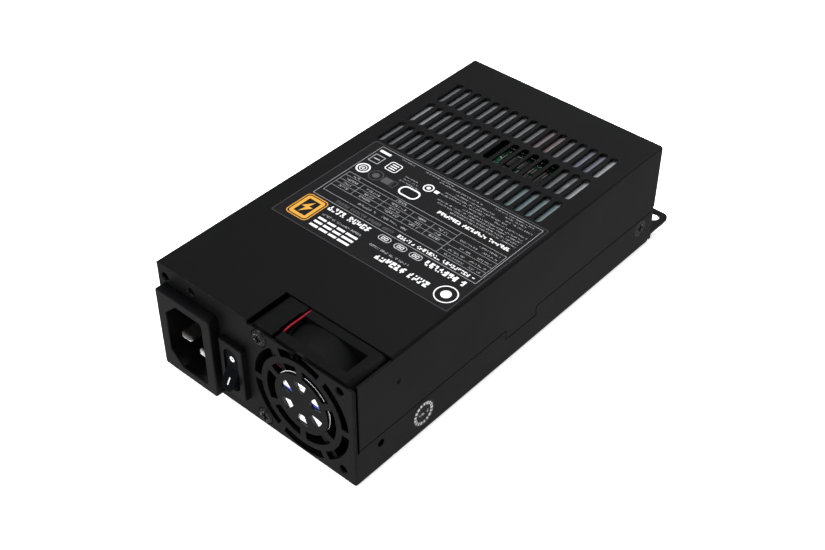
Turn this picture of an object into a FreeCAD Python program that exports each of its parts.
import FreeCAD, Part
import math
import os

# Flex-format power supply unit: a folded steel tray and cover round a circuit board, an AC inlet,
# a rocker switch, a 40 mm fan and a row of output sockets.
# Frame: +Z up, +X to the fan side, +Y to the rear. The origin is under the middle of the casing,
# on its resting face. All lengths are millimetres.

# ---------------------------------------------------------------- driving dimensions
CASE_W = 81.5
CASE_D = 150.0
CASE_H = 40.5
SHEET = 0.8
FRONT = -CASE_D / 2
REAR = CASE_D / 2
SIDE = CASE_W / 2
INNER = SIDE - SHEET
PANEL_TOP = CASE_H - SHEET - 0.1
TRAY_WALL_H = 14.0
SEAM_GAP = 0.35
REAR_PANEL_INSET = 0.3
COVER_FRONT_GAP = 1.7
FRONT_FOLD_R = 0.6
FAN_LIP_DROP = 0.5

FAN_X = 19.4
FAN_Z = 20.1
FAN_SIZE = 40.0
FAN_DEPTH = 15.0
FAN_FRONT = FRONT + SHEET + 0.1
FAN_BACK = FAN_FRONT + FAN_DEPTH
FAN_HOLE_PITCH = 32.0
DUCT_R = 18.9
IMPELLER_R = 18.3
HUB_R = 11.0
MOTOR_BASE_R = 10.9
SHAFT_R = 0.75
BEARING_CLEARANCE = 0.03
BLADES = 7

INLET_X = -26.1
INLET_Z = 18.2
INLET_W = 24.0
INLET_H = 31.2
INLET_PROUD = 3.8
CAVITY_W = 16.5
CAVITY_H = 25.0
CAVITY_DEPTH = 16.0
CAVITY_CHAMFER = 5.0

SWITCH_X = -7.6
SWITCH_Z = 17.6
BEZEL_W = 9.8
BEZEL_H = 21.0
BEZEL_PROUD = 2.2
ROCKER_HALF_TILT = 15.0
ROCKER_PIVOT_Y = FRONT + 0.3

CHASSIS_HOLE_R = 1.75
TOP_HOLE_Z = FAN_Z + FAN_HOLE_PITCH / 2
LOW_HOLE_Z = FAN_Z - FAN_HOLE_PITCH / 2
FAN_LEFT_X = FAN_X - FAN_HOLE_PITCH / 2
FAN_RIGHT_X = FAN_X + FAN_HOLE_PITCH / 2
FAR_HOLE_X = -37.1
TAB_HOLE_R = 2.3

SLOT_COUNT = 17
SLOT_PITCH = 4.125
SLOT_W = 2.7
SLOT_L = 13.0
SLOT_ROWS = (FRONT + 97.0, FRONT + 112.3, FRONT + 127.6)

BOARD_BOTTOM = 4.6
BOARD_T = 1.6
BOARD_TOP = BOARD_BOTTOM + BOARD_T
BOARD_FRONT = FRONT + 30.0
BOARD_REAR = FRONT + 137.0
BOARD_HALF_W = 38.0

SOCKET_PITCH = 4.2
SOCKET_CELL = 3.4
SOCKET_H = 9.8
SOCKET_DEPTH = 12.0
SOCKET_BACK = REAR - 11.4


# ---------------------------------------------------------------- small builders
def vec(x, y, z):
    return FreeCAD.Vector(x, y, z)


def box(x0, x1, y0, y1, z0, z1):
    """Box between two corners."""
    return Part.makeBox(x1 - x0, y1 - y0, z1 - z0, vec(x0, y0, z0))


def cyl_x(r, x0, x1, y, z):
    return Part.makeCylinder(r, x1 - x0, vec(x0, y, z), vec(1, 0, 0))


def cyl_y(r, y0, y1, x, z):
    return Part.makeCylinder(r, y1 - y0, vec(x, y0, z), vec(0, 1, 0))


def cyl_z(r, z0, z1, x, y):
    return Part.makeCylinder(r, z1 - z0, vec(x, y, z0), vec(0, 0, 1))


def ring_y(r_out, r_in, y0, y1, x, z):
    return cyl_y(r_out, y0, y1, x, z).cut(cyl_y(r_in, y0 - 1, y1 + 1, x, z))


def prism_y(points, y0, y1):
    """Closed outline of (x, z) points, extruded along Y."""
    corners = [vec(x, y0, z) for x, z in points]
    face = Part.Face(Part.makePolygon(corners + [corners[0]]))
    return face.extrude(vec(0, y1 - y0, 0))


def prism_x(points, x0, x1):
    """Closed outline of (y, z) points, extruded along X."""
    corners = [vec(x0, y, z) for y, z in points]
    face = Part.Face(Part.makePolygon(corners + [corners[0]]))
    return face.extrude(vec(x1 - x0, 0, 0))


def prism_z(points, z0, z1):
    """Closed outline of (x, y) points, extruded along Z."""
    corners = [vec(x, y, z0) for x, y in points]
    face = Part.Face(Part.makePolygon(corners + [corners[0]]))
    return face.extrude(vec(0, 0, z1 - z0))


def fuse_all(shapes):
    """One clean solid from several touching ones."""
    body = shapes[0]
    if len(shapes) > 1:
        body = body.multiFuse(shapes[1:])
    return body.removeSplitter()


def cut_all(body, tools):
    return body.cut(Part.makeCompound(tools))


def edges_where(shape, test):
    return [e for e in shape.Edges if test(e)]


def along(edge, axis):
    """True for a straight edge that lies along the named axis."""
    if len(edge.Vertexes) != 2:
        return False
    a, b = edge.Vertexes[0].Point, edge.Vertexes[1].Point
    d = b.sub(a)
    if d.Length < 1e-6:
        return False
    part = {"x": d.x, "y": d.y, "z": d.z}[axis]
    return abs(abs(part) - d.Length) < 1e-6


def middle(edge):
    box_ = edge.BoundBox
    return box_.Center


def stadium_y(half_w, half_l, y0, y1, x, z):
    """Round-ended bar, long along Z, extruded along Y."""
    core = box(x - half_w, x + half_w, y0, y1, z - half_l + half_w, z + half_l - half_w)
    low = cyl_y(half_w, y0, y1, x, z - half_l + half_w)
    high = cyl_y(half_w, y0, y1, x, z + half_l - half_w)
    return fuse_all([core, low, high])


def slot_z(half_w, half_l, x, y, z0, z1):
    """Round-ended slot cutter, long along Y, cut along Z."""
    core = box(x - half_w, x + half_w, y - half_l + half_w, y + half_l - half_w, z0, z1)
    near = cyl_z(half_w, z0, z1, x, y - half_l + half_w)
    far = cyl_z(half_w, z0, z1, x, y + half_l - half_w)
    return fuse_all([core, near, far])


def arc_slot(r_in, r_out, start, end, y0, y1):
    """Part of a ring about the fan's axis, between two angles in degrees."""
    ring = ring_y(r_out, r_in, y0, y1, FAN_X, FAN_Z)
    reach = r_out * 1.6
    points = [(FAN_X, FAN_Z)]
    steps = 4
    for i in range(steps + 1):
        a = math.radians(start + (end - start) * i / steps)
        points.append((FAN_X + reach * math.cos(a), FAN_Z + reach * math.sin(a)))
    return ring.common(prism_y(points, y0, y1))


def cable(points, r):
    """Round insulated wire: straight runs joined by tangent arcs."""
    spots = [vec(*p) for p in points]
    edges = []
    here = spots[0]
    for i in range(1, len(spots) - 1):
        into = spots[i].sub(spots[i - 1])
        out = spots[i + 1].sub(spots[i])
        reach = 0.45 * min(into.Length, out.Length)
        into.normalize()
        out.normalize()
        half_turn = into.getAngle(out) / 2
        start = spots[i].sub(into * reach)
        end = spots[i].add(out * reach)
        inward = out.sub(into)
        inward.normalize()
        radius = reach / math.tan(half_turn)
        crown = spots[i].add(inward * (radius / math.cos(half_turn) - radius))
        edges.append(Part.LineSegment(here, start).toShape())
        edges.append(Part.Arc(start, crown, end).toShape())
        here = end
    edges.append(Part.LineSegment(here, spots[-1]).toShape())
    path = Part.Wire(edges)
    direction = spots[1].sub(spots[0])
    ring = Part.Wire([Part.makeCircle(r, spots[0], direction)])
    return path.makePipeShell([ring], True, False)


def phillips(x, y, z, axis, size, depth):
    """Cross recess cutter, centred on a screw head's face."""
    if axis == "y":
        a = box(x - size, x + size, y - 1, y + depth, z - size / 5, z + size / 5)
        b = box(x - size / 5, x + size / 5, y - 1, y + depth, z - size, z + size)
    elif axis == "z":
        a = box(x - size, x + size, y - size / 5, y + size / 5, z - depth, z + 1)
        b = box(x - size / 5, x + size / 5, y - size, y + size, z - depth, z + 1)
    else:
        a = box(x - depth, x + depth, y - size, y + size, z - size / 5, z + size / 5)
        b = box(x - depth, x + depth, y - size / 5, y + size / 5, z - size, z + size)
    return fuse_all([a, b])


# ---------------------------------------------------------------- casing
REAR_FACE = REAR - REAR_PANEL_INSET
COVER_TAB = (FRONT + 68.5, FRONT + 83.5)
COVER_SCREW_Y = FRONT + 142.4
COVER_SCREW_Z = 10.2
PCB_SCREWS = ((-34.0, FRONT + 34.0), (34.0, FRONT + 34.0), (-34.0, FRONT + 130.0), (34.0, FRONT + 130.0))
SOCKETS = (
    ("main", -36.4 + 26.0, 28.6, 12),
    ("cpu", -27.2, 12.6, 4),
    ("graphics", -6.4, 12.6, 4),
    ("drives_a", 11.8, 12.6, 3),
    ("drives_b", 28.4, 12.6, 3),
)


def grille_cuts():
    """Two broken rings of slots and six petals, punched in front of the fan."""
    y0, y1 = FRONT - 2, FRONT + SHEET + 2
    cuts = []
    for k in range(6):
        a = 60 * k
        cuts.append(arc_slot(16.2, 19.05, a + 4.0, a + 56.0, y0, y1))
        cuts.append(arc_slot(10.7, 14.0, a + 30 + 5.4, a + 90 - 5.4, y0, y1))
        inner, outer = 4.4, 8.3
        petal = prism_y([(inner, -1.0), (outer, -2.5), (outer, 2.5), (inner, 1.0)], y0, y1)
        petal = petal.makeFillet(0.35, edges_where(petal, lambda e: along(e, "y")))
        petal.rotate(vec(0, 0, 0), vec(0, 1, 0), -(a + 30))
        petal.translate(vec(FAN_X, 0, FAN_Z))
        cuts.append(petal)
    return cuts


def make_base_tray():
    """Bottom, front panel, rear panel and low side walls, folded from one sheet."""
    outer = box(-SIDE, SIDE, FRONT, REAR_FACE, 0, PANEL_TOP)
    long_low = edges_where(outer, lambda e: along(e, "y") and middle(e).z < 1)
    outer = outer.makeFillet(1.2, long_low)
    # Rounded fold all round the front panel: up both sides and along the bottom.
    front_fold = edges_where(outer, lambda e: along(e, "z") and abs(middle(e).y - FRONT) < 0.01)
    outer = outer.makeFillet(FRONT_FOLD_R, front_fold)
    cuts = [box(-INNER, INNER, FRONT + SHEET, REAR_FACE - SHEET, SHEET, CASE_H + 5)]
    for side in (-1, 1):
        x0, x1 = sorted((side * (INNER - 0.01), side * (SIDE + 1)))
        cuts.append(box(x0, x1, FRONT + SHEET, REAR_FACE + 1, TRAY_WALL_H, CASE_H))
        cuts.append(box(x0, x1, COVER_TAB[0] - 0.3, COVER_TAB[1] + 0.3, 10.2, CASE_H))
        cone = Part.makeCone(3.2, 1.6, SHEET, vec(side * SIDE, COVER_SCREW_Y, COVER_SCREW_Z), vec(-side, 0, 0))
        cuts.append(cone)
        # Small notch through the bottom fold, just behind the fan.
        n0, n1 = sorted((side * (INNER - 1.4), side * (SIDE + 1)))
        cuts.append(box(n0, n1, FRONT + 15.4, FRONT + 17.0, -1, 0.95))
        # Clipped lower rear corner of each side wall.
        clip = [(REAR_FACE + 0.1, -0.1), (REAR_FACE + 0.1, 2.6), (REAR_FACE - 2.6, -0.1)]
        cuts.append(prism_x(clip, x0, x1))
    cuts.append(cyl_x(1.35, SIDE - 3, SIDE + 2, FRONT + 10.6, 10.6))
    cuts.append(cyl_x(0.5, SIDE - 3, SIDE + 2, FRONT + 1.3, TRAY_WALL_H - 0.1))
    # Fan well in the bottom sheet.
    cuts.append(box(FAN_X - 20.6, INNER, FRONT + SHEET, FAN_BACK + 0.4, -1, SHEET + 1))
    # The panel stops a little lower where the fan fills the corner.
    cuts.append(box(FAN_X - 20.5, SIDE + 1, FRONT - 1, FRONT + SHEET + 0.01, PANEL_TOP - FAN_LIP_DROP, CASE_H))
    # Front panel openings.
    cuts.append(box(INLET_X - 10.1, INLET_X + 10.1, FRONT - 1, FRONT + 2, INLET_Z - 14.0, INLET_Z + 14.0))
    cuts.append(box(SWITCH_X - 4.35, SWITCH_X + 4.35, FRONT - 1, FRONT + 2, SWITCH_Z - 9.7, SWITCH_Z + 9.7))
    cuts += grille_cuts()
    for x, z in ((FAR_HOLE_X, TOP_HOLE_Z), (FAN_RIGHT_X, TOP_HOLE_Z), (FAN_RIGHT_X, LOW_HOLE_Z)):
        cuts.append(cyl_y(CHASSIS_HOLE_R, FRONT - 1, FRONT + 2, x, z))
    cuts.append(cyl_y(1.6, FRONT - 1, FRONT + 2, -25.6, 36.8))
    # Rear panel openings: one per socket, and a short row of vents.
    for _, x, z, pairs in SOCKETS:
        half = pairs * SOCKET_PITCH / 2 + 0.75
        cuts.append(box(x - half, x + half, REAR_FACE - 2, REAR_FACE + 2, z - SOCKET_H / 2 - 0.15, z + SOCKET_H / 2 + 1.95))
    for k in range(5):
        x = 21.0 + 3.9 * k
        cuts.append(stadium_y(1.2, 4.6, REAR_FACE - 2, REAR_FACE + 2, x, 29.4))
    tray = cut_all(outer, cuts)
    # Pressed dishes that seat the two fan screws.
    extras, dishes = [], []
    for z in (TOP_HOLE_Z, LOW_HOLE_Z):
        bulge = cyl_y(3.5, FRONT + SHEET - 0.1, FRONT + 1.4, FAN_LEFT_X, z)
        extras.append(bulge.common(box(-60, 60, FRONT, FRONT + 2, 0, PANEL_TOP)))
        dishes.append(cyl_y(3.1, FRONT - 1, FRONT + 0.7, FAN_LEFT_X, z))
        dishes.append(cyl_y(1.65, FRONT - 1, FRONT + 3, FAN_LEFT_X, z))
    # Raised threaded rim round the open chassis hole.
    rim = ring_y(2.5, CHASSIS_HOLE_R, FRONT + SHEET - 0.1, FRONT + 2.0, FAR_HOLE_X, TOP_HOLE_Z)
    extras.append(rim)
    tray = fuse_all([tray] + extras)
    tray = cut_all(tray, dishes)
    corner = edges_where(tray, lambda e: along(e, "x") and abs(middle(e).y - REAR_FACE) < 0.01
                         and middle(e).z < 1 and e.Length > 50)
    if corner:
        tray = tray.makeFillet(0.7, corner)
    return tray


def make_top_cover():
    """Top sheet and two deep side flaps, with the vents and the opening over the fan."""
    outer = box(-SIDE, SIDE, FRONT, REAR, TRAY_WALL_H + SEAM_GAP, CASE_H)
    bends = edges_where(outer, lambda e: along(e, "y") and middle(e).z > CASE_H - 1)
    outer = outer.makeFillet(1.0, bends)
    cuts = [box(-INNER, INNER, FRONT - 1, REAR + 1, 0, CASE_H - SHEET)]
    cuts.append(box(-60, 60, FRONT - 1, FRONT + COVER_FRONT_GAP, 0, CASE_H - SHEET))
    cover = cut_all(outer, cuts)
    extras = []
    for side in (-1, 1):
        x0, x1 = sorted((side * INNER, side * SIDE))
        extras.append(box(x0, x1, COVER_TAB[0], COVER_TAB[1], 10.6, TRAY_WALL_H + 1))
        # Tongue that slips inside the tray wall and takes the cover screw.
        t0, t1 = sorted((side * (INNER - 0.9), side * (INNER - 0.1)))
        j0, j1 = sorted((side * (INNER - 0.9), side * (INNER + 0.2)))
        tongue_y = (FRONT + 136.0, FRONT + 146.0)
        extras.append(box(t0, t1, tongue_y[0], tongue_y[1], 5.0, 16.2))
        extras.append(box(j0, j1, tongue_y[0], tongue_y[1], TRAY_WALL_H + SEAM_GAP, 16.2))
    # Lug behind the front panel, with its own threaded hole.
    extras.append(box(-30.0, -21.2, FRONT + SHEET + 0.05, FRONT + 2 * SHEET + 0.05, 33.6, CASE_H - SHEET + 0.1))
    cover = fuse_all([cover] + extras)
    cuts = [box(FAN_X - 20.5, SIDE + 1, FRONT - 1, FRONT + 16.2, CASE_H - SHEET, CASE_H + 1)]
    for row in SLOT_ROWS:
        for k in range(SLOT_COUNT):
            x = (k - (SLOT_COUNT - 1) / 2) * SLOT_PITCH
            cuts.append(slot_z(SLOT_W / 2, SLOT_L / 2, x, row, CASE_H - SHEET - 1, CASE_H + 1))
    for side in (-1, 1):
        hole_start, hole_end = sorted((side * (INNER - 3), side * (INNER + 0.05)))
        cuts.append(cyl_x(1.45, hole_start, hole_end, COVER_SCREW_Y, COVER_SCREW_Z))
        dimple = Part.makeSphere(1.6, vec(side * (SIDE + 1.15), FRONT + 18.3, 30.0))
        cuts.append(dimple)
        # Clipped lower rear corner of each flap.
        z = TRAY_WALL_H + SEAM_GAP
        clip = [(REAR + 0.1, z - 0.1), (REAR + 0.1, z + 1.7), (REAR - 1.7, z - 0.1)]
        cuts.append(prism_x(clip, min(side * 30, side * 50), max(side * 30, side * 50)))
    cuts.append(cyl_y(1.25, FRONT, FRONT + 3, -25.6, 36.8))
    return cut_all(cover, cuts)


def make_rear_mount_tab():
    """Angle bracket on the rear panel, with one fixing hole in its foot."""
    leg = box(24.0, SIDE - 0.15, REAR_FACE, REAR_FACE + 1.0, 0.8, 3.6)
    foot = box(24.0, SIDE - 0.15, REAR_FACE, FRONT + 162.6, 2.6, 3.6)
    tab = fuse_all([leg, foot])
    ends = edges_where(tab, lambda e: along(e, "z") and middle(e).y > REAR + 3)
    tab = tab.makeFillet(2.6, ends)
    return tab.cut(cyl_z(TAB_HOLE_R, 0, 5, 36.2, FRONT + 158.4))


def make_cover_screws():
    """Two countersunk screws through the tray walls into the cover's tongues."""
    screws = []
    for side in (-1, 1):
        top = vec(side * (SIDE - 0.03), COVER_SCREW_Y, COVER_SCREW_Z)
        inward = vec(-side, 0, 0)
        head = Part.makeCone(3.1, 1.5, SHEET - 0.03, top, inward)
        shank_top = vec(side * (INNER + 0.01), COVER_SCREW_Y, COVER_SCREW_Z)
        shank = Part.makeCylinder(1.42, 2.6, shank_top, inward)
        screw = fuse_all([head, shank])
        cross = phillips(side * SIDE, COVER_SCREW_Y, COVER_SCREW_Z, "x", 1.4, 0.6)
        screws.append(screw.cut(cross))
    return Part.makeCompound(screws)


def make_fan_screws():
    """Two cross-recess screws that hold the fan to the front panel."""
    screws = []
    for z in (TOP_HOLE_Z, LOW_HOLE_Z):
        head = cyl_y(2.75, FRONT - 0.5, FRONT + 0.7, FAN_LEFT_X, z)
        rim = edges_where(head, lambda e: abs(middle(e).y - (FRONT - 0.5)) < 0.01 and e.Length > 5)
        head = head.makeFillet(0.75, rim)
        shank = cyl_y(1.5, FRONT + 0.6, FRONT + 8.0, FAN_LEFT_X, z)
        screw = fuse_all([head, shank])
        screws.append(screw.cut(phillips(FAN_LEFT_X, FRONT - 0.5, z, "y", 1.6, 0.9)))
    return Part.makeCompound(screws)


def make_rating_label():
    """Thin printed sheet stuck on the top."""
    sheet = box(-33.0, SIDE - 1.3, FRONT + 40.3, FRONT + 89.5, CASE_H, CASE_H + 0.06)
    return sheet


def make_seal_sticker():
    """Round seal on the tray's side wall."""
    return cyl_x(4.9, SIDE, SIDE + 0.06, FRONT + 29.2, 8.2)


# ---------------------------------------------------------------- insulation and fixings
def make_insulation_film():
    """Pale film under the vents, with a window."""
    film = box(-37.0, 37.0, FRONT + 88.0, FRONT + 138.0, 38.95, 39.1)
    return film.cut(box(-2.1, 22.3, FRONT + 104.5, FRONT + 120.0, 38, 40))


def make_film_tape():
    """Two adhesive strips between the film and the cover."""
    strips = []
    for side in (-1, 1):
        x0, x1 = sorted((side * 35.4, side * 37.0))
        strips.append(box(x0, x1, FRONT + 88.0, FRONT + 138.0, 39.1, CASE_H - SHEET))
    return Part.makeCompound(strips)


def make_bottom_insulator():
    """Film between the board and the tray, pierced for the standoffs."""
    film = box(-38.5, 38.5, FRONT + 29.0, FRONT + 136.0, SHEET, SHEET + 0.25)
    holes = [cyl_z(3.2, 0, 3, x, y) for x, y in PCB_SCREWS]
    return cut_all(film, holes)


def make_pcb_standoffs():
    """Four hexagonal posts, tapped for the board screws."""
    posts = []
    for x, y in PCB_SCREWS:
        corners = [(x + 2.9 * math.cos(math.radians(60 * k)), y + 2.9 * math.sin(math.radians(60 * k)))
                   for k in range(6)]
        post = prism_z(corners, SHEET, BOARD_BOTTOM)
        posts.append(post.cut(cyl_z(1.45, SHEET + 0.6, BOARD_BOTTOM + 1, x, y)))
    return Part.makeCompound(posts)


def make_pcb_screws():
    screws = []
    for x, y in PCB_SCREWS:
        head = cyl_z(2.7, BOARD_TOP, BOARD_TOP + 1.9, x, y)
        rim = edges_where(head, lambda e: abs(middle(e).z - BOARD_TOP - 1.9) < 0.01 and e.Length > 5)
        head = head.makeFillet(0.7, rim)
        shank = cyl_z(1.4, SHEET + 1.0, BOARD_TOP + 0.1, x, y)
        screw = fuse_all([head, shank])
        screws.append(screw.cut(phillips(x, y, BOARD_TOP + 1.9, "z", 1.6, 1.0)))
    return Part.makeCompound(screws)


# ---------------------------------------------------------------- AC inlet
INLET_FACE = FRONT - INLET_PROUD
INLET_FLOOR = INLET_FACE + CAVITY_DEPTH
INLET_BACK = INLET_FLOOR + 2.6
PIN_SPOTS = {
    "earth": (INLET_X - 2.0, INLET_Z, 1.6),
    "line": (INLET_X + 2.0, INLET_Z - 7.0, 4.4),
    "neutral": (INLET_X + 2.0, INLET_Z + 7.0, 4.4),
}


def make_inlet_pin(name):
    """Flat contact blade: rounded tip in the cavity, spade with an eye at the back."""
    x, z, recess = PIN_SPOTS[name]
    tip = INLET_FACE + recess
    blade = box(x - 2.0, x + 2.0, tip, INLET_BACK + 1.0, z - 1.0, z + 1.0)
    nose = edges_where(blade, lambda e: abs(middle(e).y - tip) < 0.01)
    blade = blade.makeFillet(0.75, nose)
    spade = box(x - 2.4, x + 2.4, INLET_BACK + 0.5, INLET_BACK + 8.5, z - 0.4, z + 0.4)
    pin = fuse_all([blade, spade])
    return pin.cut(cyl_z(0.8, z - 3, z + 3, x, INLET_BACK + 5.5))


def make_inlet_pins_supply():
    return Part.makeCompound([make_inlet_pin("line"), make_inlet_pin("neutral")])


def make_inlet_housing():
    """Moulded flange and socket with two cut corners, snapped into the front panel."""
    flange = box(INLET_X - INLET_W / 2, INLET_X + INLET_W / 2, INLET_FACE, FRONT,
                 INLET_Z - INLET_H / 2, INLET_Z + INLET_H / 2)
    flange = flange.makeFillet(1.0, edges_where(flange, lambda e: along(e, "y")))
    face = edges_where(flange, lambda e: abs(middle(e).y - INLET_FACE) < 0.01)
    flange = flange.makeFillet(0.45, face)
    barrel = box(INLET_X - 9.95, INLET_X + 9.95, FRONT - 0.5, INLET_BACK, INLET_Z - 13.85, INLET_Z + 13.85)
    parts = [flange, barrel]
    for side in (-1, 1):
        wedge = [(FRONT + SHEET + 0.05, INLET_Z + side * 13.8), (FRONT + SHEET + 0.05, INLET_Z + side * 14.8),
                 (FRONT + 6.0, INLET_Z + side * 13.8)]
        parts.append(prism_x(wedge, INLET_X - 3.0, INLET_X + 3.0))
    housing = fuse_all(parts)
    w, h, c = CAVITY_W / 2, CAVITY_H / 2, CAVITY_CHAMFER
    outline = [(-w, -h + c), (-w + c, -h), (w, -h), (w, h), (-w + c, h), (-w, h - c)]
    cavity = prism_y([(INLET_X + x, INLET_Z + z) for x, z in outline], INLET_FACE - 1, INLET_FLOOR)
    round_edges = edges_where(cavity, lambda e: along(e, "y") and middle(e).x > INLET_X + w - 0.1)
    cavity = cavity.makeFillet(1.4, round_edges)
    housing = housing.cut(cavity)
    mouth = edges_where(housing, lambda e: abs(middle(e).y - INLET_FACE) < 0.01
                        and abs(middle(e).x - INLET_X) < w + 0.1 and abs(middle(e).z - INLET_Z) < h + 0.1)
    if mouth:
        housing = housing.makeFillet(0.35, mouth)
    slots = []
    for x, z, _ in PIN_SPOTS.values():
        slots.append(box(x - 2.0, x + 2.0, INLET_FLOOR - 1, INLET_BACK + 1, z - 1.0, z + 1.0))
    return cut_all(housing, slots)


# ---------------------------------------------------------------- rocker switch
SWITCH_FACE = FRONT - BEZEL_PROUD
SWITCH_BACK = FRONT + 13.0
LEVER_Y = FRONT + 8.0
LEVER_HALF_TILT = 9.0


def make_switch_housing():
    """Bezel and body round the rocker, with bearings for its pins."""
    bezel = box(SWITCH_X - BEZEL_W / 2, SWITCH_X + BEZEL_W / 2, SWITCH_FACE, FRONT,
                SWITCH_Z - BEZEL_H / 2, SWITCH_Z + BEZEL_H / 2)
    bezel = bezel.makeFillet(0.6, edges_where(bezel, lambda e: along(e, "y")))
    face = edges_where(bezel, lambda e: abs(middle(e).y - SWITCH_FACE) < 0.01)
    bezel = bezel.makeFillet(0.4, face)
    body = box(SWITCH_X - 4.25, SWITCH_X + 4.25, FRONT - 0.5, SWITCH_BACK, SWITCH_Z - 9.6, SWITCH_Z + 9.6)
    parts = [bezel, body]
    for side in (-1, 1):
        wedge = [(FRONT + SHEET + 0.05, SWITCH_Z + side * 9.5), (FRONT + SHEET + 0.05, SWITCH_Z + side * 10.3),
                 (FRONT + 5.0, SWITCH_Z + side * 9.5)]
        parts.append(prism_x(wedge, SWITCH_X - 2.0, SWITCH_X + 2.0))
    housing = fuse_all(parts)
    well = stadium_y(3.05, 8.3, SWITCH_FACE - 1, FRONT + 4.2, SWITCH_X, SWITCH_Z)
    chamber = box(SWITCH_X - 2.4, SWITCH_X + 2.4, FRONT + 4.0, SWITCH_BACK - 1.2, SWITCH_Z - 7.0, SWITCH_Z + 7.0)
    pivots = cyl_x(1.0, SWITCH_X - 3.75, SWITCH_X + 3.75, ROCKER_PIVOT_Y, SWITCH_Z)
    cuts = [well, chamber, pivots]
    for z in (SWITCH_Z, SWITCH_Z + 5.6):
        cuts.append(box(SWITCH_X - 1.9, SWITCH_X + 1.9, SWITCH_BACK - 2, SWITCH_BACK + 1, z - 0.4, z + 0.4))
    return cut_all(housing, cuts)


def make_switch_rocker():
    """Round-ended rocker with a hollow V face, drawn level and then tilted to off."""
    vertex = ROCKER_PIVOT_Y - 2.0
    rise = math.tan(math.radians(ROCKER_HALF_TILT)) * 12
    outline = [(vertex, SWITCH_Z), (vertex - rise, SWITCH_Z + 12), (ROCKER_PIVOT_Y + 1.6, SWITCH_Z + 12),
               (ROCKER_PIVOT_Y + 1.9, SWITCH_Z), (ROCKER_PIVOT_Y + 1.6, SWITCH_Z - 12),
               (vertex - rise, SWITCH_Z - 12)]
    rocker = prism_x(outline, SWITCH_X - 2.55, SWITCH_X + 2.55)
    rocker = rocker.common(stadium_y(2.55, 7.55, FRONT - 10, FRONT + 10, SWITCH_X, SWITCH_Z))
    rocker = rocker.common(cyl_x(8.1, SWITCH_X - 4, SWITCH_X + 4, ROCKER_PIVOT_Y, SWITCH_Z))
    pins = cyl_x(0.95, SWITCH_X - 3.6, SWITCH_X + 3.6, ROCKER_PIVOT_Y, SWITCH_Z)
    stem = cyl_y(1.3, ROCKER_PIVOT_Y + 1.5, ROCKER_PIVOT_Y + 5.4, SWITCH_X, SWITCH_Z)
    tip = Part.makeSphere(1.3, vec(SWITCH_X, ROCKER_PIVOT_Y + 5.4, SWITCH_Z))
    rocker = fuse_all([rocker, pins, stem, tip])
    rocker.rotate(vec(SWITCH_X, ROCKER_PIVOT_Y, SWITCH_Z), vec(1, 0, 0), -ROCKER_HALF_TILT)
    return rocker


def make_switch_lever():
    """See-saw contact under the rocker's stem."""
    plate = box(SWITCH_X - 1.6, SWITCH_X + 1.6, LEVER_Y - 0.25, LEVER_Y + 0.25, SWITCH_Z - 6.2, SWITCH_Z + 6.2)
    knee = cyl_x(0.7, SWITCH_X - 1.6, SWITCH_X + 1.6, LEVER_Y + 0.5, SWITCH_Z)
    pad = cyl_y(1.1, LEVER_Y + 0.2, LEVER_Y + 0.8, SWITCH_X, SWITCH_Z + 5.0)
    lever = fuse_all([plate, knee, pad])
    lever.rotate(vec(SWITCH_X, LEVER_Y + 0.5, SWITCH_Z), vec(1, 0, 0), LEVER_HALF_TILT)
    return lever


def make_switch_terminals():
    """Common terminal under the lever's knee, and the fixed contact beside it."""
    blades = []
    for z, top in ((SWITCH_Z, LEVER_Y + 1.25), (SWITCH_Z + 5.6, LEVER_Y + 2.2)):
        stem = box(SWITCH_X - 1.9, SWITCH_X + 1.9, top, SWITCH_BACK + 7.0, z - 0.4, z + 0.4)
        blades.append(stem.cut(cyl_z(0.75, z - 2, z + 2, SWITCH_X, SWITCH_BACK + 4.5)))
    return Part.makeCompound(blades)


# ---------------------------------------------------------------- fan
MOTOR_BASE_FRONT = FAN_FRONT + 0.2
MOTOR_BASE_BACK = FAN_FRONT + 1.8
LEAD_X = 9.1
LEAD_R = 0.43
STRUT_ANGLE = 130.0


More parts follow.
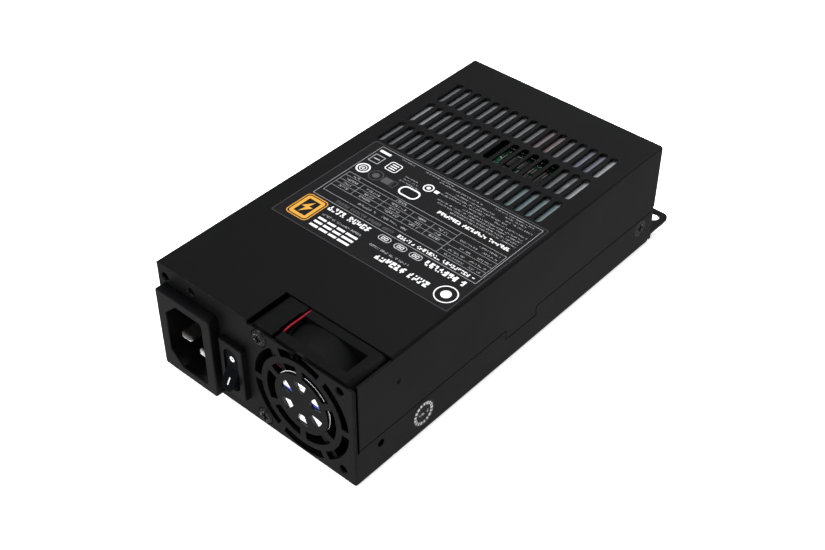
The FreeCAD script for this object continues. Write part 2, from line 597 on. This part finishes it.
def make_fan_frame():
    """Two square flanges, a round duct, corner posts, four struts and the motor base."""
    half = FAN_SIZE / 2
    frame = box(FAN_X - half, FAN_X + half, FAN_FRONT, FAN_BACK, FAN_Z - half, FAN_Z + half)
    frame = frame.makeFillet(2.4, edges_where(frame, lambda e: along(e, "y")))
    # A waist on each side, down to the duct wall, leaves a block at every corner.
    duct = cyl_y(19.8, FAN_FRONT, FAN_BACK, FAN_X, FAN_Z)
    waists = []
    for k in range(4):
        waist = box(-11.4, 15.1, FAN_FRONT + 3.2, FAN_BACK - 3.2, 10.5, half + 1)
        waist.rotate(vec(0, 0, 0), vec(0, 1, 0), 90 * k)
        waist.translate(vec(FAN_X, 0, FAN_Z))
        waists.append(waist.cut(duct))
    frame = cut_all(frame, waists)
    cuts = [cyl_y(DUCT_R, FAN_FRONT - 1, FAN_BACK + 1, FAN_X, FAN_Z)]
    for sx in (-1, 1):
        for sz in (-1, 1):
            x = FAN_X + sx * FAN_HOLE_PITCH / 2
            z = FAN_Z + sz * FAN_HOLE_PITCH / 2
            cuts.append(cyl_y(1.75, FAN_FRONT - 1, FAN_BACK + 1, x, z))
    frame = cut_all(frame, cuts)
    base = cyl_y(MOTOR_BASE_R, MOTOR_BASE_FRONT, MOTOR_BASE_BACK, FAN_X, FAN_Z)
    struts = []
    for k in range(4):
        a = STRUT_ANGLE + 90 * k
        bar = box(10.0, DUCT_R + 0.4, MOTOR_BASE_FRONT, FAN_FRONT + 2.6, -1.1, 1.1)
        bar.rotate(vec(0, 0, 0), vec(0, 1, 0), -a)
        bar.translate(vec(FAN_X, 0, FAN_Z))
        struts.append(bar)
    tube = cyl_y(3.0, MOTOR_BASE_FRONT, FAN_FRONT + 11.0, FAN_X, FAN_Z)
    frame = fuse_all([frame, base, tube] + struts)
    bore = cyl_y(2.1, MOTOR_BASE_BACK - 0.6, FAN_FRONT + 12.0, FAN_X, FAN_Z)
    lead_slot = box(LEAD_X - 0.65, LEAD_X + 0.65, FAN_FRONT - 1, FAN_BACK + 1, 36.4, CASE_H)
    lead_way = box(LEAD_X - 2.6, LEAD_X + 2.1, FAN_FRONT + 2.7, FAN_FRONT + 7.8, 33.0, 38.8)
    # Clearance for the two dishes pressed into the front panel.
    dishes = [cyl_y(3.6, FAN_FRONT - 1, FRONT + 1.5, FAN_LEFT_X, z) for z in (TOP_HOLE_Z, LOW_HOLE_Z)]
    return cut_all(frame, [bore, lead_slot, lead_way] + dishes)


def make_blade():
    """One cambered blade, drawn at the top of the hub and trimmed to the duct."""
    y0, y1 = FAN_FRONT + 4.4, FAN_BACK - 0.9
    span = 6.6
    bow = 1.7
    front = [vec(-span, y0, 0), vec(-bow, (y0 + y1) / 2 + 0.4, 0), vec(span * 0.55, y1, 0)]
    back = [vec(span * 0.55, y1 - 0.9, 0), vec(-bow + 0.5, (y0 + y1) / 2 - 0.5, 0), vec(-span + 0.9, y0, 0)]
    edge_a = Part.Arc(*front).toShape()
    edge_b = Part.LineSegment(front[2], back[0]).toShape()
    edge_c = Part.Arc(*back).toShape()
    edge_d = Part.LineSegment(back[2], front[0]).toShape()
    face = Part.Face(Part.Wire([edge_a, edge_b, edge_c, edge_d]))
    face.translate(vec(0, 0, HUB_R - 3.2))
    blade = face.extrude(vec(0, 0, 12))
    blade.translate(vec(FAN_X, 0, FAN_Z))
    return blade.common(ring_y(IMPELLER_R, HUB_R - 0.3, y0, y1, FAN_X, FAN_Z))


def make_fan_impeller():
    """Cup-shaped hub with seven blades; its closed end faces into the casing."""
    cup = cyl_y(HUB_R, FAN_FRONT + 3.4, FAN_BACK - 0.6, FAN_X, FAN_Z)
    rim = edges_where(cup, lambda e: abs(middle(e).y - (FAN_BACK - 0.6)) < 0.01 and e.Length > 20)
    cup = cup.makeFillet(0.8, rim)
    hollow = cyl_y(HUB_R - 0.9, FAN_FRONT, FAN_BACK - 1.8, FAN_X, FAN_Z)
    cup = cup.cut(hollow)
    boss = cyl_y(2.4, FAN_BACK - 3.0, FAN_BACK - 1.7, FAN_X, FAN_Z)
    blade = make_blade()
    blades = []
    for k in range(BLADES):
        copy = blade.copy()
        copy.rotate(vec(FAN_X, 0, FAN_Z), vec(0, 1, 0), 360.0 / BLADES * k)
        blades.append(copy)
    impeller = fuse_all([cup, boss] + blades)
    return impeller.cut(cyl_y(SHAFT_R, FAN_BACK - 4, FAN_BACK - 1.0, FAN_X, FAN_Z))


def make_fan_shaft():
    return cyl_y(SHAFT_R, FAN_FRONT + 2.0, FAN_BACK - 1.0, FAN_X, FAN_Z)


def make_fan_bearing():
    """Sleeve bearing pressed in the motor base's tube."""
    r = SHAFT_R + BEARING_CLEARANCE
    return ring_y(2.1, r, FAN_FRONT + 1.9, FAN_FRONT + 11.0, FAN_X, FAN_Z)


def make_fan_magnet():
    """Ring magnet inside the hub cup."""
    return ring_y(HUB_R - 0.9, HUB_R - 2.1, FAN_FRONT + 4.2, FAN_FRONT + 11.8, FAN_X, FAN_Z)


def make_fan_stator():
    """Four-pole lamination stack on the bearing tube."""
    parts = [ring_y(4.6, 3.0, FAN_FRONT + 5.0, FAN_FRONT + 9.6, FAN_X, FAN_Z)]
    for k in range(4):
        arm = box(4.2, 7.6, FAN_FRONT + 5.0, FAN_FRONT + 9.6, -0.9, 0.9)
        shoe = ring_y(8.3, 7.3, FAN_FRONT + 5.0, FAN_FRONT + 9.6, 0, 0)
        shoe = shoe.common(box(0, 12, FAN_FRONT, FAN_BACK, -4.3, 4.3))
        for piece in (arm, shoe):
            piece.rotate(vec(0, 0, 0), vec(0, 1, 0), 90 * k + 45)
            piece.translate(vec(FAN_X, 0, FAN_Z))
            parts.append(piece)
    return fuse_all(parts)


def make_fan_windings():
    """One coil on each pole."""
    coils = []
    for k in range(4):
        coil = box(4.7, 6.9, FAN_FRONT + 4.0, FAN_FRONT + 10.6, -2.0, 2.0)
        coil = coil.cut(box(4, 8, FAN_FRONT + 4.95, FAN_FRONT + 9.65, -0.95, 0.95))
        coil.rotate(vec(0, 0, 0), vec(0, 1, 0), 90 * k + 45)
        coil.translate(vec(FAN_X, 0, FAN_Z))
        coils.append(coil)
    return Part.makeCompound(coils)


def make_fan_driver_board():
    """Ring-shaped circuit board on the motor base."""
    return ring_y(8.8, 3.0, MOTOR_BASE_BACK, MOTOR_BASE_BACK + 0.8, FAN_X, FAN_Z)


def make_fan_sticker():
    return cyl_y(10.75, MOTOR_BASE_FRONT - 0.08, MOTOR_BASE_FRONT, FAN_X, FAN_Z)


def make_fan_lead_red():
    """Thin lead: a loose loop off the motor base, over the frame's top and down to its header."""
    y = FAN_FRONT
    return cable([(10.9, y + 2.75, 26.4), (8.3, y + 2.85, 25.0), (5.9, y + 3.0, 25.2), (4.9, y + 3.1, 27.6),
                  (5.7, y + 3.5, 30.4), (7.3, y + 3.55, 33.4), (8.5, y + 3.7, 36.6), (LEAD_X - 0.05, y + 3.85, 38.9),
                  (LEAD_X, y + 6.2, 39.25), (LEAD_X, FAN_BACK + 0.6, 39.25), (LEAD_X, FAN_BACK + 2.6, 37.2),
                  (7.8, FAN_BACK + 5.6, 26.0), (6.4, FAN_BACK + 11.0, 15.5), (5.0, FRONT + 32.4, BOARD_TOP + 4.9)],
                 LEAD_R)


def make_fan_lead_black():
    """The second lead, under the first over the frame's top."""
    y = FAN_FRONT
    return cable([(14.7, y + 2.75, 29.6), (13.4, y + 2.9, 31.6), (12.0, y + 3.2, 33.4), (10.7, y + 3.4, 35.0),
                  (9.9, y + 3.6, 36.5), (9.9, y + 5.0, 36.75), (LEAD_X + 0.15, y + 6.7, 37.5), (LEAD_X, y + 9.0, 37.95),
                  (LEAD_X, FAN_BACK + 0.3, 37.9), (LEAD_X - 0.4, FAN_BACK + 1.6, 36.0), (5.6, FAN_BACK + 4.6, 26.0),
                  (3.6, FAN_BACK + 10.0, 15.5), (2.6, FRONT + 32.4, BOARD_TOP + 4.9)], LEAD_R)


def make_fan_header():
    """Two-way header on the board that the fan leads end in."""
    return box(1.4, 6.0, FRONT + 30.9, FRONT + 34.1, BOARD_TOP, BOARD_TOP + 4.4)


# ---------------------------------------------------------------- mains wiring
SPADE_Y = INLET_BACK + 5.5


def make_wire_line_in():
    """From the inlet's line blade to the switch's common blade."""
    x, z, _ = PIN_SPOTS["line"]
    points = [(x, SPADE_Y + 2.8, z + 1.3), (x + 1.5, SPADE_Y + 5.2, z + 1.9), (x + 8.0, SPADE_Y + 5.2, SWITCH_Z - 2.2),
              (SWITCH_X, SWITCH_BACK + 9.6, SWITCH_Z - 1.7), (SWITCH_X, SWITCH_BACK + 6.6, SWITCH_Z - 1.3)]
    return cable(points, 0.85)


def make_wire_line_switched():
    """From the switch's fixed contact to the board."""
    z = SWITCH_Z + 5.6
    points = [(SWITCH_X, SWITCH_BACK + 6.4, z + 1.3), (SWITCH_X - 0.2, SWITCH_BACK + 11.0, z + 1.0),
              (SWITCH_X - 1.0, SWITCH_BACK + 15.5, z - 6.0), (SWITCH_X - 1.0, FRONT + 33.0, BOARD_TOP + 5.0),
              (SWITCH_X - 1.0, FRONT + 33.4, BOARD_TOP + 0.3)]
    return cable(points, 0.85)


def make_wire_neutral():
    """From the inlet's neutral blade to the board."""
    x, z, _ = PIN_SPOTS["neutral"]
    points = [(x, SPADE_Y + 2.6, z + 1.3), (x + 0.3, SPADE_Y + 6.2, z + 0.9), (x + 2.0, FRONT + 29.6, z - 8.0),
              (x + 4.0, FRONT + 32.4, BOARD_TOP + 5.0), (x + 4.0, FRONT + 32.8, BOARD_TOP + 0.3)]
    return cable(points, 0.85)


def make_wire_earth():
    """From the inlet's earth blade down to the lug on the tray."""
    x, z, _ = PIN_SPOTS["earth"]
    points = [(x, SPADE_Y + 2.6, z + 1.3), (x - 0.8, SPADE_Y + 5.6, z + 0.6), (x - 3.0, SPADE_Y + 5.0, z - 8.0),
              (x - 2.4, SPADE_Y + 3.4, 5.0), (x - 0.6, SPADE_Y + 1.4, SHEET + 2.1)]
    return cable(points, 0.85)


def make_earth_lug():
    """Ring lug and its screw-side barrel on the tray floor."""
    x, _, _ = PIN_SPOTS["earth"]
    y = INLET_BACK + 1.5
    plate = fuse_all([cyl_z(3.0, SHEET, SHEET + 0.8, x, y), box(x - 1.3, x + 1.3, y, y + 5.0, SHEET, SHEET + 0.8)])
    return plate.cut(cyl_z(1.5, 0, 3, x, y))


def make_earth_screw():
    x, _, _ = PIN_SPOTS["earth"]
    y = INLET_BACK + 1.5
    head = cyl_z(2.5, SHEET + 0.8, SHEET + 2.3, x, y)
    shank = cyl_z(1.45, SHEET, SHEET + 0.9, x, y)
    return fuse_all([head, shank]).cut(phillips(x, y, SHEET + 2.3, "z", 1.4, 0.8))


# ---------------------------------------------------------------- main board and its components
def make_main_pcb():
    """Circuit board on the four standoffs."""
    board = box(-BOARD_HALF_W, BOARD_HALF_W, BOARD_FRONT, BOARD_REAR, BOARD_BOTTOM, BOARD_TOP)
    corners = edges_where(board, lambda e: along(e, "z"))
    board = board.makeFillet(1.5, corners)
    holes = [cyl_z(1.6, BOARD_BOTTOM - 1, BOARD_TOP + 1, x, y) for x, y in PCB_SCREWS]
    return cut_all(board, holes)


def make_fuse():
    """Glass-bodied fuse lying between two end caps, in clips."""
    y, z = FRONT + 39.0, BOARD_TOP + 4.2
    body = cyl_x(2.3, -12.6, -0.2, y, z)
    caps = []
    for x in (-16.6, -0.2):
        cap = cyl_x(2.6, x, x + 4.0, y, z)
        leg = box(x + 1.2, x + 2.8, y - 1.2, y + 1.2, BOARD_TOP, z - 1.5)
        caps += [cap, leg]
    return fuse_all([body] + caps)


def make_thermistor():
    """Disc thermistor standing on two bent legs."""
    x, y = 16.0, FRONT + 39.0
    disc = cyl_y(6.0, y - 2.2, y + 2.2, x, BOARD_TOP + 9.5)
    rim = edges_where(disc, lambda e: e.Length > 20)
    disc = disc.makeFillet(1.2, rim)
    legs = [cyl_z(0.45, BOARD_TOP, BOARD_TOP + 5.0, x + s * 2.5, y) for s in (-1, 1)]
    return fuse_all([disc] + legs)


def make_x_capacitors():
    """Two box film capacitors across the line."""
    blocks = []
    for x0, y0 in ((-36.5, FRONT + 40.0), (-36.5, FRONT + 66.0)):
        block = box(x0, x0 + 17.5, y0, y0 + 8.5, BOARD_TOP, BOARD_TOP + 15.0)
        blocks.append(block.makeFillet(0.6, edges_where(block, lambda e: middle(e).z > BOARD_TOP + 1)))
    return Part.makeCompound(blocks)


def make_y_capacitors():
    """Four small ceramic discs beside the chokes."""
    discs = []
    for x, y in ((-13.2, FRONT + 47.0), (-13.2, FRONT + 53.0), (-13.2, FRONT + 63.5), (-13.2, FRONT + 69.5)):
        disc = cyl_y(3.6, y - 1.3, y + 1.3, x, BOARD_TOP + 6.0)
        disc = disc.makeFillet(0.8, edges_where(disc, lambda e: e.Length > 15))
        legs = [cyl_z(0.35, BOARD_TOP, BOARD_TOP + 4.0, x + s * 2.2, y) for s in (-1, 1)]
        discs.append(fuse_all([disc] + legs))
    return Part.makeCompound(discs)


CHOKE_SPOTS = ((-27.8, FRONT + 57.2),)


def make_choke_core():
    """Toroid core of the line filter, standing on edge."""
    cores = []
    for x, y in CHOKE_SPOTS:
        cores.append(ring_y(8.2, 4.4, y - 4.0, y + 4.0, x, BOARD_TOP + 9.8))
    return Part.makeCompound(cores)


def make_choke_windings():
    """Two banks of copper turns round the toroid."""
    turns = []
    for x, y in CHOKE_SPOTS:
        z = BOARD_TOP + 9.8
        for bank in (0, 180):
            for k in range(7):
                a = bank - 45 + 15 * k
                outer = box(3.5, 9.1, y - 4.9, y + 4.9, -0.4, 0.4)
                inner = box(4.3, 8.3, y - 4.1, y + 4.1, -1, 1)
                turn = outer.cut(inner)
                turn.rotate(vec(0, 0, 0), vec(0, 1, 0), -a)
                turn.translate(vec(x, 0, z))
                turns.append(turn)
    return Part.makeCompound(turns)


def make_bridge_rectifier():
    """Flat four-leg rectifier standing by the primary heatsink."""
    x0, y0 = -2.6, FRONT + 47.0
    body = box(x0, x0 + 3.6, y0, y0 + 18.0, BOARD_TOP + 3.0, BOARD_TOP + 17.0)
    legs = [box(x0 + 1.4, x0 + 2.2, y0 + 1.6 + 4.6 * k, y0 + 2.6 + 4.6 * k, BOARD_TOP, BOARD_TOP + 3.2)
            for k in range(4)]
    return fuse_all([body] + legs)


def make_pfc_choke():
    """Wound power choke in a tape-wrapped block."""
    core = box(8.5, 33.5, FRONT + 46.0, FRONT + 66.0, BOARD_TOP, BOARD_TOP + 22.0)
    core = core.makeFillet(1.0, edges_where(core, lambda e: along(e, "z")))
    window = box(12.5, 29.5, FRONT + 40, FRONT + 70, BOARD_TOP + 4.5, BOARD_TOP + 17.5)
    post = box(17.0, 25.0, FRONT + 46.0, FRONT + 66.0, BOARD_TOP + 4.0, BOARD_TOP + 18.0)
    return fuse_all([core.cut(window), post])


def make_pfc_winding():
    """Copper coil on the power choke's middle leg."""
    outer = box(13.0, 29.0, FRONT + 44.5, FRONT + 67.5, BOARD_TOP + 4.8, BOARD_TOP + 17.2)
    outer = outer.makeFillet(1.2, edges_where(outer, lambda e: along(e, "z")))
    return outer.cut(box(16.9, 25.1, FRONT + 45.9, FRONT + 66.1, BOARD_TOP, BOARD_TOP + 20))


def make_bulk_capacitor():
    """Large electrolytic lying along the board."""
    x, z = -25.4, BOARD_TOP + 11.3
    can = cyl_y(11.0, FRONT + 78.0, FRONT + 112.0, x, z)
    rims = edges_where(can, lambda e: e.Length > 50)
    can = can.makeFillet(1.2, rims)
    neck = ring_y(13.0, 10.5, FRONT + 80.4, FRONT + 81.8, x, z)
    legs = [box(x + s * 5.0 - 0.6, x + s * 5.0 + 0.6, FRONT + 76.6, FRONT + 77.4, BOARD_TOP, z) for s in (-1, 1)]
    feet = [box(x + s * 5.0 - 0.6, x + s * 5.0 + 0.6, FRONT + 76.6, FRONT + 78.4, z - 0.8, z) for s in (-1, 1)]
    return fuse_all([can.cut(neck)] + legs + feet)


def make_primary_heatsink():
    """Aluminium plate with a folded top fin."""
    plate = box(1.4, 3.8, FRONT + 47.0, FRONT + 100.0, BOARD_TOP, BOARD_TOP + 27.0)
    fin = box(1.4, 6.6, FRONT + 69.0, FRONT + 100.0, BOARD_TOP + 25.4, BOARD_TOP + 27.0)
    return fuse_all([plate, fin])


def transistor(x, y, side):
    """Flat power package with a metal tab, its back on a heatsink at x."""
    x1 = x + side * 4.4
    body = box(min(x, x1), max(x, x1), y - 5.0, y + 5.0, BOARD_TOP + 6.0, BOARD_TOP + 15.0)
    t1 = x + side * 1.3
    tab = box(min(x, t1), max(x, t1), y - 5.0, y + 5.0, BOARD_TOP + 15.0, BOARD_TOP + 21.0)
    legs = []
    for k in (-1, 0, 1):
        l0, l1 = sorted((x + side * 2.2, x + side * 2.9))
        legs.append(box(l0, l1, y + 2.54 * k - 0.4, y + 2.54 * k + 0.4, BOARD_TOP, BOARD_TOP + 6.5))
    return fuse_all([body, tab] + legs)


def make_power_transistors():
    """Three packages on the primary heatsink and two on the secondary one."""
    primary = [transistor(1.4, FRONT + y, -1) for y in (72.5, 84.0, 95.0)]
    secondary = [transistor(29.6, FRONT + y, -1) for y in (107.0, 120.5)]
    return Part.makeCompound(primary + secondary)


def make_transformer_core():
    """Two E-shaped ferrite halves meeting round the coil former."""
    x0, x1 = 9.0, 35.0
    y0, y1 = FRONT + 71.0, FRONT + 98.0
    z0, z1 = BOARD_TOP + 3.0, BOARD_TOP + 28.0
    shell = box(x0, x1, y0 + 7.0, y1 - 7.0, z0, z1)
    window = box(x0 + 4.0, x1 - 4.0, y0, y1, z0 + 4.0, z1 - 4.0)
    post = box(x0 + 9.0, x1 - 9.0, y0 + 7.0, y1 - 7.0, z0 + 3.9, z1 - 3.9)
    return fuse_all([shell.cut(window), post])


def make_transformer_coil():
    """Taped coil and former round the transformer's middle leg."""
    x0, x1 = 13.1, 30.9
    y0, y1 = FRONT + 71.0, FRONT + 98.0
    z0, z1 = BOARD_TOP + 7.1, BOARD_TOP + 23.9
    coil = box(x0, x1, y0 + 2.0, y1 - 2.0, z0, z1)
    coil = coil.makeFillet(2.0, edges_where(coil, lambda e: along(e, "z")))
    coil = coil.cut(box(17.9, 26.1, y0 + 6.9, y1 - 6.9, z0 - 1, z1 + 1))
    shoes = [box(x0, x1, y, y + 4.0, BOARD_TOP + 1.5, z0 + 1.0) for y in (y0 + 2.0, y1 - 6.0)]
    pins = []
    for y in (y0 + 4.0, y1 - 4.0):
        pins += [cyl_z(0.5, BOARD_TOP, BOARD_TOP + 2.0, x0 + 2.4 + 4.3 * k, y) for k in range(4)]
    return fuse_all([coil] + shoes + pins)


def make_standby_transformer():
    """Small taped transformer for the standby supply."""
    core = box(-36.0, -18.0, FRONT + 116.5, FRONT + 131.0, BOARD_TOP + 2.0, BOARD_TOP + 16.0)
    core = core.makeFillet(0.8, edges_where(core, lambda e: along(e, "z")))
    band = box(-31.5, -22.5, FRONT + 115.0, FRONT + 132.5, BOARD_TOP + 3.5, BOARD_TOP + 14.5)
    pins = []
    for y in (FRONT + 117.8, FRONT + 129.6):
        pins += [cyl_z(0.45, BOARD_TOP, BOARD_TOP + 2.5, -30.6 + 3.5 * k, y) for k in range(3)]
    return fuse_all([core, band] + pins)


def make_secondary_heatsink():
    plate = box(29.6, 32.0, FRONT + 101.0, FRONT + 127.0, BOARD_TOP, BOARD_TOP + 26.0)
    fin = box(29.6, 36.6, FRONT + 101.0, FRONT + 127.0, BOARD_TOP + 24.6, BOARD_TOP + 26.0)
    return fuse_all([plate, fin])


def make_output_choke():
    """Toroid choke lying on its side in the window under the vents."""
    x, y = 15.8, FRONT + 110.5
    core = cyl_z(7.6, BOARD_TOP + 1.0, BOARD_TOP + 10.0, x, y).cut(cyl_z(3.2, 0, 40, x, y))
    turns = []
    for k in range(14):
        outer = box(2.5, 8.4, -0.65, 0.65, BOARD_TOP + 0.2, BOARD_TOP + 10.8)
        outer.rotate(vec(0, 0, 0), vec(0, 0, 1), 360.0 / 14 * k)
        outer.translate(vec(x, y, 0))
        turns.append(outer)
    return fuse_all([core] + turns)


LEVEL_CARD_Z = 35.0
LEVEL_CARD_LEGS = ((4.9, 104.3), (4.6, 111.8), (5.2, 118.8), (12.0, 120.0), (18.9, 119.8))
CAP_SPOTS = ((-10.1, 107.0), (-0.9, 106.4), (-11.5, 117.4), (-1.9, 116.2), (6.8, 124.4), (16.6, 124.9),
             (-12.5, 127.8), (-2.6, 127.0))


def make_output_capacitors():
    """Upright electrolytics on the output side."""
    cans = []
    for x, d in CAP_SPOTS:
        can = cyl_z(4.0, BOARD_TOP, BOARD_TOP + 20.0, x, FRONT + d)
        rims = edges_where(can, lambda e: e.Length > 20 and middle(e).z > BOARD_TOP + 1)
        cans.append(can.makeFillet(0.6, rims))
    return Part.makeCompound(cans)


def make_control_board():
    """Upright control card with two chips, and a level card on legs under the window in the film."""
    card = box(-7.6, -6.2, FRONT + 76.0, FRONT + 100.0, BOARD_TOP, BOARD_TOP + 20.0)
    chips = [box(-8.8, -7.6, FRONT + y, FRONT + y + 7.0, BOARD_TOP + 8.0, BOARD_TOP + 12.0) for y in (79.0, 90.0)]
    upright = fuse_all([card] + chips)
    level = box(-5.6, 19.8, FRONT + 103.5, FRONT + 121.6, LEVEL_CARD_Z, LEVEL_CARD_Z + 1.2)
    legs = [cyl_z(0.45, BOARD_TOP, LEVEL_CARD_Z + 0.1, x, FRONT + d) for x, d in LEVEL_CARD_LEGS]
    return Part.makeCompound([upright, fuse_all([level] + legs)])


# ---------------------------------------------------------------- output sockets
def socket_cells(x, z, pairs):
    """Centres of every cell of one two-row socket."""
    spots = []
    for row in (-1, 1):
        for k in range(pairs):
            spots.append((x + (k - (pairs - 1) / 2) * SOCKET_PITCH, z + row * SOCKET_PITCH / 2))
    return spots


def make_modular_sockets():
    """Five two-row output sockets with a latch bar on top of each."""
    y0 = SOCKET_BACK
    y1 = SOCKET_BACK + SOCKET_DEPTH
    bodies = []
    for _, x, z, pairs in SOCKETS:
        half = pairs * SOCKET_PITCH / 2 + 0.6
        body = box(x - half, x + half, y0, y1, z - SOCKET_H / 2, z + SOCKET_H / 2)
        latch = box(x - 2.4, x + 2.4, y1 - 5.0, y1 - 1.0, z + SOCKET_H / 2 - 0.1, z + SOCKET_H / 2 + 1.6)
        body = fuse_all([body, latch])
        cells = []
        for cx, cz in socket_cells(x, z, pairs):
            h = SOCKET_CELL / 2
            cells.append(box(cx - h, cx + h, y0 + 2.5, y1 + 1, cz - h, cz + h))
            cells.append(box(cx - 0.5, cx + 0.5, y0 - 1, y0 + 3, cz - 0.5, cz + 0.5))
        bodies.append(cut_all(body, cells))
    return Part.makeCompound(bodies)


def make_socket_pins():
    """Square contact pins, through the upright board and up each cell."""
    pins = []
    for _, x, z, pairs in SOCKETS:
        for cx, cz in socket_cells(x, z, pairs):
            pins.append(box(cx - 0.5, cx + 0.5, SOCKET_BACK - 3.0, SOCKET_BACK + 8.6, cz - 0.5, cz + 0.5))
    return Part.makeCompound(pins)


def make_modular_board():
    """Upright board that carries the sockets."""
    board = box(-38.0, 38.0, SOCKET_BACK - 1.6, SOCKET_BACK, BOARD_BOTTOM - 1.0, 37.6)
    holes = []
    for _, x, z, pairs in SOCKETS:
        for cx, cz in socket_cells(x, z, pairs):
            holes.append(box(cx - 0.5, cx + 0.5, SOCKET_BACK - 3, SOCKET_BACK + 1, cz - 0.5, cz + 0.5))
    return cut_all(board, holes)


# ---------------------------------------------------------------- build and write
PARTS = {
    "base_tray": make_base_tray,
    "top_cover": make_top_cover,
    "rear_mount_tab": make_rear_mount_tab,
    "cover_screws": make_cover_screws,
    "fan_screws": make_fan_screws,
    "rating_label": make_rating_label,
    "seal_sticker": make_seal_sticker,
    "insulation_film": make_insulation_film,
    "film_tape": make_film_tape,
    "bottom_insulator": make_bottom_insulator,
    "pcb_standoffs": make_pcb_standoffs,
    "pcb_screws": make_pcb_screws,
    "inlet_housing": make_inlet_housing,
    "inlet_pin_earth": lambda: make_inlet_pin("earth"),
    "inlet_pins_supply": make_inlet_pins_supply,
    "switch_housing": make_switch_housing,
    "switch_rocker": make_switch_rocker,
    "switch_lever": make_switch_lever,
    "switch_terminals": make_switch_terminals,
    "fan_frame": make_fan_frame,
    "fan_impeller": make_fan_impeller,
    "fan_shaft": make_fan_shaft,
    "fan_bearing": make_fan_bearing,
    "fan_magnet": make_fan_magnet,
    "fan_stator": make_fan_stator,
    "fan_windings": make_fan_windings,
    "fan_driver_board": make_fan_driver_board,
    "fan_sticker": make_fan_sticker,
    "fan_lead_red": make_fan_lead_red,
    "fan_lead_black": make_fan_lead_black,
    "fan_header": make_fan_header,
    "wire_line_in": make_wire_line_in,
    "wire_line_switched": make_wire_line_switched,
    "wire_neutral": make_wire_neutral,
    "wire_earth": make_wire_earth,
    "earth_lug": make_earth_lug,
    "earth_screw": make_earth_screw,
    "main_pcb": make_main_pcb,
    "fuse": make_fuse,
    "thermistor": make_thermistor,
    "x_capacitors": make_x_capacitors,
    "y_capacitors": make_y_capacitors,
    "choke_core": make_choke_core,
    "choke_windings": make_choke_windings,
    "bridge_rectifier": make_bridge_rectifier,
    "pfc_choke": make_pfc_choke,
    "pfc_winding": make_pfc_winding,
    "bulk_capacitor": make_bulk_capacitor,
    "primary_heatsink": make_primary_heatsink,
    "power_transistors": make_power_transistors,
    "transformer_core": make_transformer_core,
    "transformer_coil": make_transformer_coil,
    "secondary_heatsink": make_secondary_heatsink,
    "standby_transformer": make_standby_transformer,
    "control_board": make_control_board,
    "output_choke": make_output_choke,
    "output_capacitors": make_output_capacitors,
    "modular_board": make_modular_board,
    "modular_sockets": make_modular_sockets,
    "socket_pins": make_socket_pins,
}

os.makedirs("parts", exist_ok=True)
for name, maker in PARTS.items():
    shape = maker()
    shape.exportStep("parts/" + name + ".step")
    print(name, "solids", len(shape.Solids), "valid", shape.isValid(), "volume", round(shape.Volume, 2))
